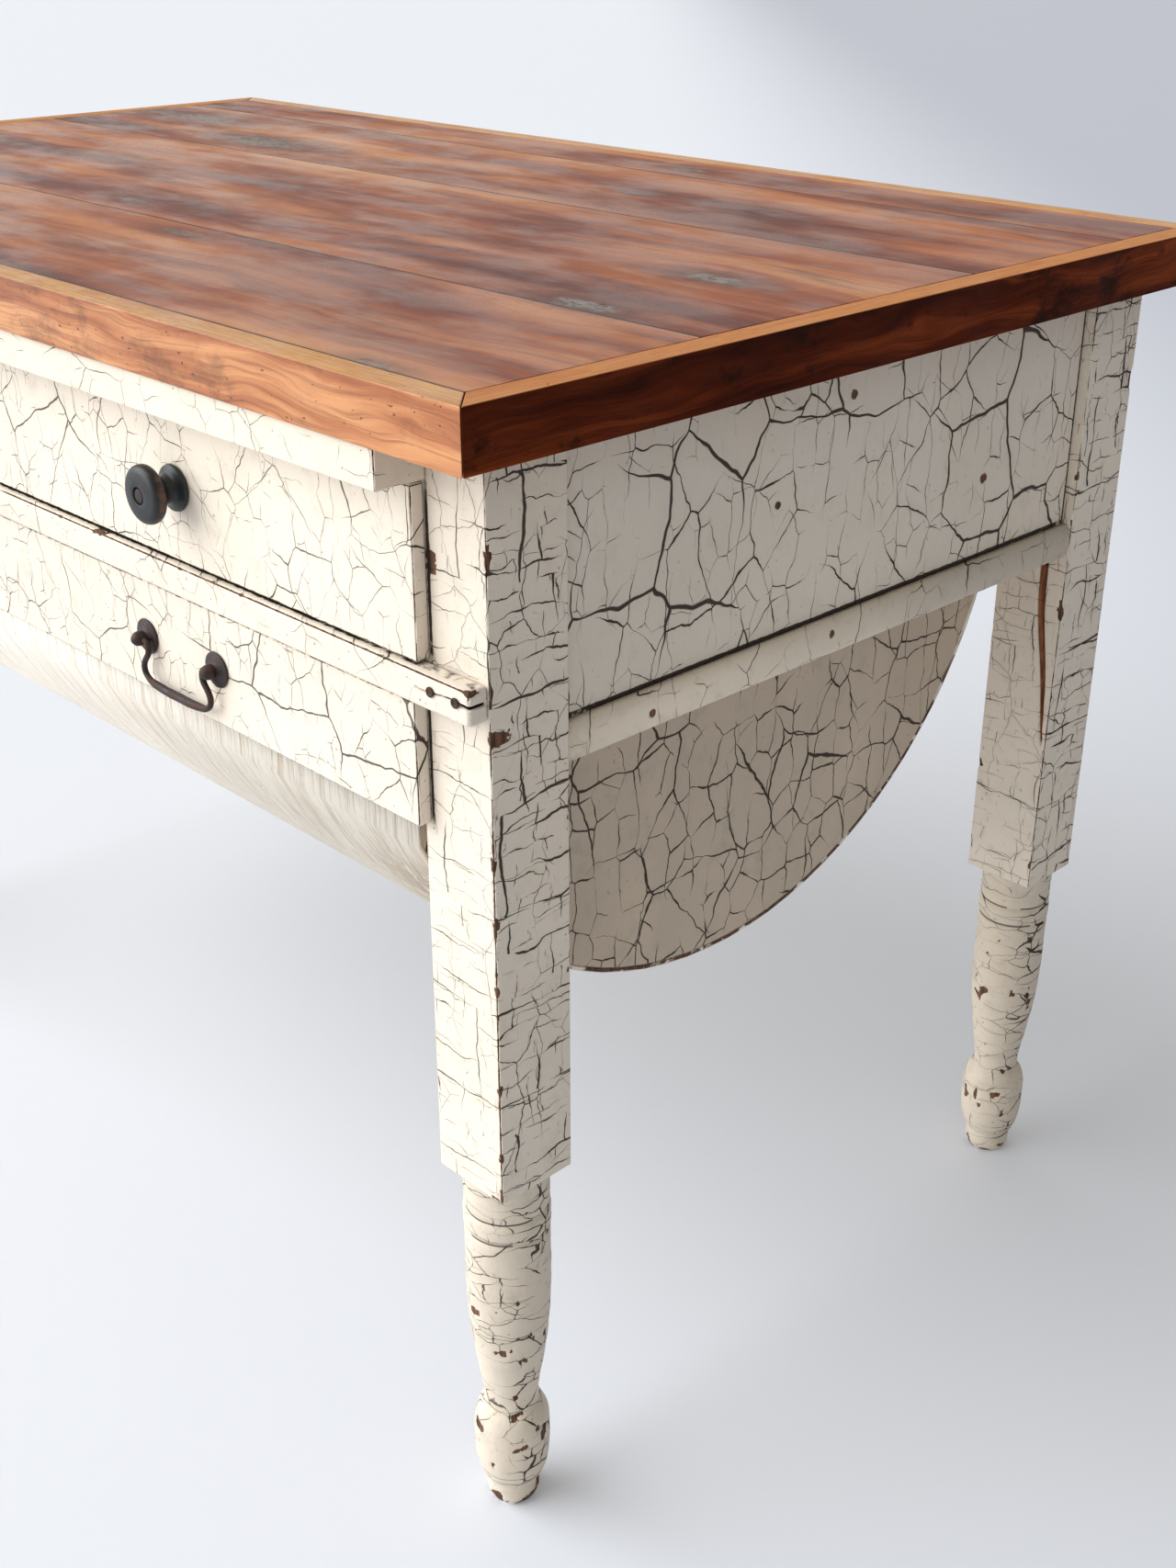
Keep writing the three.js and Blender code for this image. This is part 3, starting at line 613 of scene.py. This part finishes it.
def make(name, parts, materials, body, stands_for=(), sharp=38):
    """One piece from the parts' points and faces, riding on a body."""
    points, faces, finishes, layers = [], [], [], {"wear": [], "split": [], "dark": []}
    for part in parts:
        start = len(points)
        points.extend(part["points"].tolist())
        faces.extend([[i + start for i in face] for face in part["faces"]])
        finishes.extend([part.get("finish", 0)] * len(part["faces"]))
        for layer, values in layers.items():
            values.extend(part.get(layer, np.zeros(len(part["points"]))))
    mesh = bpy.data.meshes.new(name)
    mesh.from_pydata(points, [], faces)
    for layer, values in layers.items():
        mesh.attributes.new(layer, "FLOAT", "POINT").data.foreach_set("value", np.array(values, np.float32))
    for material in materials if isinstance(materials, tuple) else (materials,):
        mesh.materials.append(material)
    mesh.polygons.foreach_set("material_index", finishes)
    mesh.shade_smooth()
    mesh.set_sharp_from_angle(angle=math.radians(sharp))
    piece = bpy.data.objects.new(name, mesh)
    bpy.context.scene.collection.objects.link(piece)
    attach(piece, body)
    if stands_for:
        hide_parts(*stands_for)
    return piece


def finish_node(node, material, bevel=0.0, smooth=0):
    """Gives a CAD node its finish: welded, with eased arrises or a smooth curved face."""
    piece = NODES[node]
    piece.data.materials.clear()
    piece.data.materials.append(material)
    weld = piece.modifiers.new("weld", "WELD")
    weld.merge_threshold = 0.00002
    if bevel:
        ease = piece.modifiers.new("eased", "BEVEL")
        ease.width, ease.segments, ease.limit_method = bevel, 3, "ANGLE"
        ease.angle_limit = math.radians(40)
    if smooth:
        piece.data.shade_smooth()
        piece.data.set_sharp_from_angle(angle=math.radians(smooth))
    return piece


# ---- The table's pieces ----------------------------------------------------------------
LEG_NETS = (
    dict(cell=(0.040, 0.0250), width=0.0020, share=(0.44, 0.66), wander=0.60, seed=2.0, bricks=True),
    dict(cell=(0.024, 0.0150), width=0.0009, share=(0.46, 0.64), wander=0.70, seed=5.0, bricks=True),
    dict(cell=(0.047, 0.0630), width=0.0028, share=(0.43, 0.64), wander=0.40, seed=8.0, bricks=True),
    dict(cell=(0.030, 0.0380), width=0.0007, share=(0.40, 0.60), wander=0.70, seed=13.0),
)
TURNED_NETS = (
    dict(cell=(0.050, 0.050, 0.017), width=0.0013, share=(0.44, 0.66), wander=0.55, seed=2.0),
    dict(cell=(0.028, 0.028, 0.014), width=0.0007, share=(0.42, 0.62), wander=0.50, seed=5.0),
)
PANEL_NETS = (
    dict(cell=(0.066, 0.086), width=0.0032, share=(0.38, 0.68), wander=0.50, seed=1.3),
    dict(cell=(0.034, 0.050), width=0.0013, share=(0.40, 0.64), wander=0.50, seed=4.0),
    dict(cell=(0.017, 0.030), width=0.0005, share=(0.44, 0.64), wander=0.50, seed=7.0, jitter=0.7),
)
FRONT_NETS = (
    dict(cell=(0.058, 0.062), width=0.0028, share=(0.42, 0.68), wander=0.55, seed=3.0),
    dict(cell=(0.028, 0.036), width=0.0013, share=(0.42, 0.64), wander=0.55, seed=6.0),
    dict(cell=(0.013, 0.022), width=0.0006, share=(0.46, 0.64), wander=0.50, seed=9.0),
)
END_NETS = (
    dict(cell=(0.044, 0.058), width=0.0022, share=(0.38, 0.64), wander=0.50, seed=12.0),
    dict(cell=(0.021, 0.031), width=0.0012, share=(0.38, 0.60), wander=0.50, seed=15.0, jitter=0.7),
)
RAIL_NETS = (
    dict(cell=(0.055, 0.040), width=0.0013, share=(0.44, 0.66), wander=0.55, seed=18.0),
    dict(cell=(0.022, 0.020), width=0.0006, share=(0.46, 0.64), wander=0.55, seed=20.0),
)


def leg_profile():
    """Radius and height of the turned foot, from the toe to the square length."""
    path = [(0.0005, 0), (0.0152, 0), (0.0160, 0.0008), (0.0178, 0.005), (0.0184, 0.018), (0.0209, 0.022)]
    path += curve_points([(0.0209, 0.022), (0.0253, 0.034), (0.0253, 0.048)], 8)[1:]
    path += [(0.0253, 0.066)]
    path += curve_points([(0.0253, 0.066), (0.0246, 0.076), (0.0184, 0.083)], 8)[1:]
    path += [(0.0182, 0.092)]
    path += curve_points([(0.0182, 0.092), (0.0205, 0.112), (0.0274, 0.142), (0.0275, 0.186)], 24)[1:]
    path += [(0.0274, 0.226), (0.0264, 0.2275), (0.0266, 0.2290), (0.0279, 0.231), (0.0279, 0.241),
             (0.0264, 0.2436), (0.0264, 0.2444), (0.0273, 0.247), (0.0273, 0.2716)]
    return evenly(path, 0.0022)


def leg_foot(x, y, seed):
    """The turned length, rough with old paint, chipped about its middle, ball and toe."""
    def ripple(at):
        return -0.0005 - 0.0005 * rough_noise((at[0] + x, at[1] + y, at[2]), 0.012, seed)

    def wear(at):
        height = at[2]
        share = 0.10
        share += 0.22 * math.exp(-((height - 0.150) / 0.030) ** 2)
        share += 0.28 * math.exp(-((height - 0.058) / 0.016) ** 2)
        share += 0.55 * max(0.0, 1 - height / 0.016)
        jag = rough_noise((at[0] + x, at[1] + y, height * 0.8), 0.010, seed + 4)
        return min(max((jag - (0.52 - share)) / 0.15, 0.0), 1.0)

    part = lathe(leg_profile(), 72, ripple, wear)
    radii = np.linalg.norm(part["points"][:, :2], axis=1)
    shrink = np.where(radii > 0.004, 1 - part["wear"] * 0.0008 / np.maximum(radii, 1e-6), 1)
    part["points"][:, :2] *= shrink[:, None]
    # Near-black lines along the turned grooves, broken here and there: painted shade in the grooves.
    lines = np.zeros(len(radii))
    for height, width in ((0.2282, 0.0016), (0.2440, 0.0010), (0.0300, 0.0010), (0.0235, 0.0012)):
        lines = np.maximum(lines, np.clip(1.4 - np.abs(part["points"][:, 2] - height) / width, 0, 1))
    mask = np.array([rough_noise(p, 0.020, seed + 8) > -0.12 for p in part["points"]])
    part["dark"] = lines * mask * 0.55
    part["points"][:, 0] += x
    part["points"][:, 1] += y
    return part


# Chips down a front leg's outer arris: height, distance in from the front, half width
# back from the arris, and half height.
FRONT_LEG_CHIPS = (
    (0.672, 0.0014, 0.0026, 0.0090), (0.5735, 0.0035, 0.0120, 0.0044), (0.500, 0.0, 0.0030, 0.0040),
    (0.462, 0.0010, 0.0022, 0.0050), (0.420, 0.0, 0.0026, 0.0030), (0.352, 0.0008, 0.0024, 0.0045),
    (0.304, 0.0010, 0.0030, 0.0030),
)
# Gaps beside the drawer's and the bin's lips, where shade is painted on the legs: X, middle height and half
# height.
LIP_GAPS = ((0.4929, 0.6555, 0.049), (0.4889, 0.5455, 0.038))
LIP_GAP_CHIP_X = 0.4932


def leg_chips(row, low, high, x_sign, outer):
    """Centres and half sizes of the chips on one leg."""
    if row == "front":
        chips = [((outer, low.y + inward, z), (0.0030, wide, tall)) for z, inward, wide, tall in FRONT_LEG_CHIPS]
        return chips + [((x_sign * LIP_GAP_CHIP_X, low.y, 0.664), (0.0022, 0.003, 0.0160))]
    return [((outer, high.y, 0.66), (0.005, 0.005, 0.010)), ((low.x, low.y, 0.36), (0.004,) * 3),
            ((outer, low.y, 0.50), (0.004, 0.004, 0.009)), ((outer, low.y, 0.60), (0.003,) * 3)]


def make_legs():
    # Painted shade on the legs' fronts in the gaps beside the lips.
    gaps = [((sign * edge, LEG_FACE_Y, z), (0.0012, 0.003, tall)) for sign in (-1, 1)
            for edge, z, tall in LIP_GAPS]
    material = paint("leg_paint", nets=LEG_NETS, front_thin=0.42, dust=0.6, dirt_and_gap_shade=gaps)
    turned = paint("turned_paint", nets=TURNED_NETS, base=(0.70, 0.61, 0.495), front_thin=0.42,
                   dust=0.7, grime=0.45)
    for row, y_sign in (("front", -1), ("rear", 1)):
        for side, x_sign in SIDES:
            node = f"leg_{row}_{side}"
            low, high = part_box(node)
            x, y = (low.x + high.x) / 2, (low.y + high.y) / 2
            seed = 3 + 2 * x_sign + 7 * y_sign
            front_arris = low.y
            outer = high.x if x_sign > 0 else low.x
            chips = leg_chips(row, low, high, x_sign, outer)
            split_x = ()
            if node == "leg_rear_right":
                split_x = tuple(np.arange(0.514, 0.538, 0.0010))

            def wear(point, y_edge=front_arris, x_edge=outer):
                share = 0.13 if point[2] > 0.29 else 0.24
                if abs(point[1] - y_edge) < 0.01 and abs(point[0] - x_edge) < 0.01:
                    share += 0.16 if point[2] < 0.50 else 0.05
                return share

            def rub(point, y_edge=front_arris, x_edge=outer):
                on_arris = abs(point[1] - y_edge) < 0.003 and abs(point[0] - x_edge) < 0.003
                return (0.62 if point[2] < 0.52 else 0.30) if on_arris else -1.0

            square = worn_block((low.x, low.y, 0.2706), high, 0.0011, 0.008, fine=0.0032, wear=wear, rub=rub,
                                chips=chips, seed=seed, depth=0.0009, extra=(split_x, (), ()))
            if node == "leg_rear_right":
                add_split(square, low.y)
            foot = leg_foot(x, y, seed)
            foot["finish"] = 1
            make(f"painted_{node}", [square, foot], (material, turned), "table", [node])


def add_split(part, face_y):
    """The long split down the rear leg's front face, open to raw wood inside."""
    depths = []
    for px, py, pz in part["points"]:
        inside = 0.0
        if abs(py - face_y) < 0.0006 and 0.395 < pz < 0.575:
            run = (0.575 - pz) / 0.18
            centre = 0.5172 + 0.0175 * run ** 1.6 + 0.0010 * math.sin(pz * 60)
            width = 0.0023 * (1 - run ** 3) + 0.0007
            inside = min(max(1.5 - abs(px - centre) / width, 0.0), 1.0)
        depths.append(inside)
    part["split"] = np.array(depths)
    part["points"][:, 1] += part["split"] * 0.0035
    # Near-black in the split's upper, widest part: painted shade deep in the split.
    part["dark"] = part["split"] * np.clip((part["points"][:, 2] - 0.520) / 0.02, 0, 1)
    part["wear"] = part["wear"] * (1 - part["split"])


def make_aprons():
    x = APRON_FACE_X
    nails = (((x, 0.141, 0.620), 0.0042), ((x, -0.069, 0.648), 0.0030), ((x, -0.003, 0.702), 0.0035),
             ((-x, 0.120, 0.640), 0.0040), ((-x, -0.090, 0.610), 0.0030))
    # Painted shade along the beads' joints with the aprons, and down the corner where the right apron meets its
    # rear leg.
    joints = (((x, 0, BEAD_JOINT_Z), (0.003, 0.26, 0.0016)), ((-x, 0, BEAD_JOINT_Z), (0.003, 0.26, 0.0016)),
              ((0, APRON_FACE_Y, BEAD_JOINT_Z), (0.50, 0.003, 0.0016)), ((x, 0.2445, 0.65), (0.003, 0.0012, 0.09)))
    panel = paint("panel_paint", nets=PANEL_NETS, blots=nails, grime=0.16, dirt_and_gap_shade=joints)
    bead = paint("bead_paint", base=(0.74, 0.645, 0.52), nets=RAIL_NETS, grime=0.45, blots=(
        ((0.537, -0.020, 0.556), 0.0030), ((0.538, -0.180, 0.552), 0.0030)))
    for side in ("left", "right", "back"):
        finish_node(f"apron_{side}", panel, bevel=0.0006)
        finish_node(f"apron_bead_{side}", bead, smooth=50)


def make_rails():
    low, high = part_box("front_top_rail")
    # Painted shade in the gaps above and below the middle rail.
    material = paint("rail_paint", nets=RAIL_NETS, front_thin=0.6, grime=0.30, dust=0.9, dirt_and_gap_shade=(
        ((0, -0.3062, RAIL_HIGH_Z), (0.492, 0.0046, 0.0012)), ((0, -0.3062, RAIL_LOW_Z), (0.488, 0.0050, 0.0012))))

    def end_rub(point):
        return 0.45 if abs(point[0]) > 0.4915 else 0.05

    strip = worn_block((low.x, low.y, low.z), (high.x, LIP_BACK_Y, TOP_RAIL_LOW_Z), 0.0012, 0.008, fine=0.004,
                       wear=0.12, seed=31, rub=end_rub)
    tongue = worn_block((-TONGUE_HALF, TONGUE_FRONT_Y, low.z), (TONGUE_HALF, high.y, high.z), 0.0008, 0.02)
    make("drip_rail", [strip, tongue], material, "table", ["front_top_rail"])

    low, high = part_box("front_middle_rail")

    def wear(point):
        return 0.34 if point[2] > 0.601 and point[1] < -0.309 else 0.10

    def rub(point):
        if point[1] > -0.309:
            return -1.0
        return 0.55 if point[2] > 0.60 else 0.25

    split_z = tuple(np.arange(0.5925, 0.6005, 0.0005))
    end_x = tuple(np.arange(0.490, 0.538, 0.0022))
    bar = worn_block((low.x, low.y, low.z), (high.x, LIP_BACK_Y, high.z), 0.0026, 0.006, fine=0.0035, wear=wear,
                     seed=37, extra=(end_x, (), split_z), depth=0.0012, rub=rub,
                     chips=[((sign * 0.538, -0.316, RAIL_HIGH_Z), (0.005,) * 3) for sign in (1, -1)])
    open_at = []
    for px, py, pz in bar["points"]:
        path = 0.5966 + 0.0008 * math.sin(px * 160) + 0.0006 * rough_noise((px, 0, 0), 0.006, 3)
        inside = 0.0
        if px > 0.496 and py < -0.3035:
            width = 0.0004 + 0.0006 * min(max((px - 0.515) / 0.02, 0), 1)
            inside = min(max(1.5 - abs(pz - path) / width, 0.0), 1.0)
        open_at.append(inside)
    open_at = np.array(open_at)
    # The open crack is sunk into the mesh and painted near-black: painted shade inside it.
    bar["dark"] = open_at
    bar["points"] -= bar["normals"] * (open_at * 0.0032)[:, None]
    tongue = worn_block((-TONGUE_HALF, TONGUE_FRONT_Y, low.z), (TONGUE_HALF, high.y, high.z), 0.0008, 0.02)
    make("middle_rail", [bar, tongue], material, "table", ["front_middle_rail"])


def make_top():
    for i in range(4):
        low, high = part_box(f"top_plank_{i + 1}")
        wood = plank_wood(f"plank_wood_{i + 1}", 3.0 + 11.3 * i, low.y, high.y)
        finish_node(f"top_plank_{i + 1}", wood, bevel=0.0009)
    orange = ((0.32, (0.22, 0.058, 0.020)), (0.48, (0.42, 0.150, 0.055)), (0.62, (0.60, 0.270, 0.110)))
    brown = ((0.32, (0.030, 0.005, 0.002)), (0.48, (0.090, 0.014, 0.003)), (0.66, (0.230, 0.045, 0.010)))
    long_front = band_wood("band_wood_front", "x", orange, 41)
    long_back = band_wood("band_wood_back", "x", orange, 47)
    end_right = band_wood("band_wood_right", "y", brown, 53, dark=0.55)
    end_left = band_wood("band_wood_left", "y", brown, 59, dark=0.25)
    for side, material in (("front", long_front), ("back", long_back), ("right", end_right), ("left", end_left)):
        finish_node(f"top_band_{side}", material, bevel=0.0007)


def make_fronts():
    # Painted shade in the gaps along the drawer lip's lower edge and the bin lip's upper and lower edges.
    material = paint("front_paint", nets=FRONT_NETS, front_thin=0.58, grime=0.30, dust=0.6, dirt_and_gap_shade=(
        ((0, -0.3068, DRAWER_LIP_LOW_Z), (0.50, 0.0046, 0.0012)),
        ((0, -0.3068, BIN_LIP_Z[1]), (0.50, 0.0046, 0.0012)),
        ((0, -0.3060, BIN_LIP_Z[0]), (0.50, 0.0050, 0.0010))))

    def rub(point):
        return 0.30 if abs(point[0]) > 0.48 or point[2] < 0.52 else 0.05

    for node, name, body, inner_half, seed in (("drawer_front", "drawer_lip", "drawer", 0.478, 61),
                                               ("bin_front", "bin_lip", "bin", 0.4523, 67)):
        low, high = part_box(node)
        lip_low, lip_high = (low.z, high.z) if body == "drawer" else BIN_LIP_Z
        lip = worn_block((low.x, low.y, lip_low), (high.x, LIP_BACK_Y, lip_high), 0.0016, 0.009, fine=0.004,
                         wear=0.14, seed=seed, depth=0.0010, rub=rub)
        blocks = [((-inner_half, TONGUE_FRONT_Y, low.z), (inner_half, high.y, high.z - 0.0002))]
        if body == "bin":
            blocks = [((-inner_half, TONGUE_FRONT_Y, lip_low), (inner_half, high.y, BIN_BOARD_TOP_Z)),
                      ((-inner_half, BIN_BOARD_FRONT_Y, low.z), (inner_half, high.y - 0.0002, lip_low + 0.001))]
        parts = [lip] + [worn_block(start, end, 0.0006, 0.03) for start, end in blocks]
        make(name, parts, material, body, [node])


def make_inner_works():
    across, along = bare_wood("pine_across", "x", 71), bare_wood("pine_along", "y", 77)
    for node in ("drawer_back", "drawer_bottom", "bin_back_rail"):
        finish_node(node, across, bevel=0.0008)
    for side, _ in SIDES:
        for node in ("top_batten", "drawer_side", "drawer_runner", "drawer_kicker", "bin_cleat", "bin_runner"):
            finish_node(f"{node}_{side}", along, bevel=0.0008)


def make_bin():
    belly = paint("belly_paint", base=(0.97, 0.90, 0.79), nets=(), grime=0.18, streaks=(0.0022, 0.070, 0.070),
                  edge_wood=True)
    end = paint("bin_end_paint", base=(0.61, 0.50, 0.385), nets=END_NETS, grime=0.55)
    finish_node("bin_belly", belly, smooth=40)
    for side, _ in SIDES:
        finish_node(f"bin_end_{side}", end, bevel=0.0005)


def make_hardware():
    black, iron = knob_finish(), iron_finish()
    knob_shape = [(0.0026, 0), (0.0136, 0), (0.0144, 0.0012), (0.0139, 0.0030), (0.0110, 0.0044)]
    knob_shape += curve_points([(0.0110, 0.0044), (0.0078, 0.0056), (0.0073, 0.0100), (0.0090, 0.0143),
                                (0.0150, 0.0159)], 10)[1:]
    knob_shape += curve_points([(0.0150, 0.0159), (0.0177, 0.0167), (0.0186, 0.0185), (0.0184, 0.0225),
                                (0.0175, 0.0247), (0.0135, 0.0253)], 14)[1:]
    knob_shape += [(0.0090, 0.0258), (0.0064, 0.0260), (0.0056, 0.0257), (0.0050, 0.0240), (0.0026, 0.0238)]

    def rim_wear(at):
        radius = math.hypot(at[0], at[1])
        return 0.62 * max(0.0, (radius - 0.0145) / 0.0035) + (0.40 if radius < 0.0075 and at[2] > 0.0225 else 0)

    screw_shape = [(0.0003, 0.0004), (0.0022, 0.0004), (0.0022, 0.0241), (0.0046, 0.0241), (0.0046, 0.0245),
                   (0.0040, 0.0254), (0.0022, 0.0257), (0.0003, 0.0257)]
    post_shape = [(0.0003, 0), (0.0114, 0), (0.0118, 0.0006), (0.0116, 0.0012)]
    post_shape += curve_points([(0.0116, 0.0012), (0.0092, 0.0022), (0.0060, 0.0027), (0.0049, 0.0036)], 8)[1:]
    post_shape += curve_points([(0.0049, 0.0036), (0.0047, 0.0048), (0.0054, 0.0058), (0.0055, 0.0072),
                                (0.0052, 0.0104), (0.0026, 0.0122), (0.0003, 0.0123)], 16)[1:]

    def dents(at):
        return -0.00025 - 0.00035 * rough_noise(at, 0.004, 3)

    for side, sign in SIDES:
        place = (sign * KNOB_X, LIP_FACE_Y, KNOB_Z)
        knob = turned_to_front(lathe(knob_shape, 64, wear=rim_wear), *place)
        make(f"knob_{side}", [knob], black, "drawer", [f"drawer_knob_{side}"])
        screw = turned_to_front(lathe(screw_shape, 32), *place)
        make(f"knob_screw_{side}", [screw], iron, "drawer", [f"drawer_knob_screw_{side}"])
        for i, shift in ((1, -PULL_HALF_SPAN), (2, PULL_HALF_SPAN)):
            post = turned_to_front(lathe(post_shape, 40, ripple=dents), sign * PULL_X + shift, LIP_FACE_Y, PULL_Z)
            make(f"bail_rosette_{side}_{i}", [post], iron, "bin", [f"bail_post_{side}_{i}"])
        bail = finish_node(f"bail_{side}", iron, smooth=80)
        bail.modifiers.new("round", "SUBSURF").render_levels = 2
        for i, nail_x in enumerate(NAIL_XS, 1):
            ring = [(0.0003, 0), (0.0028, 0), (0.0030, 0.0004), (0.0028, 0.0009), (0.0022, 0.0010),
                    (0.0015, 0.0006), (0.0003, 0.0006)]
            head = turned_to_front(lathe(ring, 24), sign * nail_x, NAIL_FACE_Y, NAIL_Z)
            make(f"ring_nail_{side}_{i}", [head], iron, "table", [f"rail_nail_{side}_{i}"])


def make_floor():
    mesh = bpy.data.meshes.new("floor")
    mesh.from_pydata([(-40, -40, 0), (40, -40, 0), (40, 40, 0), (-40, 40, 0)], [], [(0, 1, 2, 3)])
    g = Graph("floor")
    shade = g.ease(g.noise(1.2, 2, 0.5, 3), 0.3, 0.7)
    x, y, _ = g.parts(g.position)
    # Painted shade: the floor's colour darkens away to the right and back, where the room's light falls off.
    away = g.ease(g.add(g.times(x, 0.70), g.times(y, 0.72)), 0.4, 2.1)
    colour = g.mix(away, (0.630, 0.650, 0.700), (0.350, 0.365, 0.420))
    # The floor also glows faintly, painted light that lifts its shadows.
    mesh.materials.append(g.finish(colour, g.add(g.times(shade, 0.05), 0.65), shade, 0.0001,
                                   Emission_Strength=0.09))
    floor = bpy.data.objects.new("floor", mesh)
    bpy.context.scene.collection.objects.link(floor)


make_camera()
make_lights()
make_floor()
make_top()
make_legs()
make_aprons()
make_rails()
make_fronts()
make_inner_works()
make_bin()
make_hardware()
